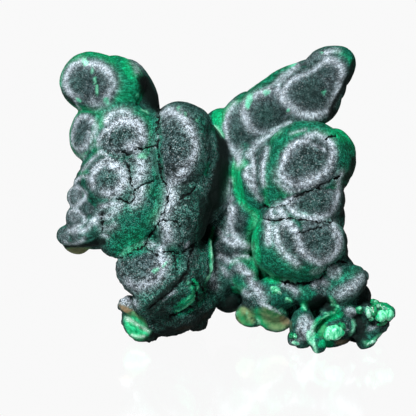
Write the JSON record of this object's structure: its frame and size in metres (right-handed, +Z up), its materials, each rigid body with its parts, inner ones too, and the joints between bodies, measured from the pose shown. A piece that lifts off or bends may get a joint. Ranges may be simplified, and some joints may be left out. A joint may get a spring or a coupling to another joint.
{
  "type": "malachite specimen",
  "caption": "Velvet malachite specimen: fused rounded lobes with pale rings, a raised knob and wing, bright crystals at one foot.",
  "frame": {"origin": "centre of the bounding box's bottom, on the floor that the specimen stands on", "axes": "+Z up, -Y towards the pictured front, +X to the right as seen from the front"},
  "size_m": [0.0846, 0.043, 0.0717],
  "materials": {
    "malachite": "dull fibrous velvet, dark green with pale concentric rings"
  },
  "bodies": {
    "root": {"malachite": "malachite"}
  },
  "joints": []
}
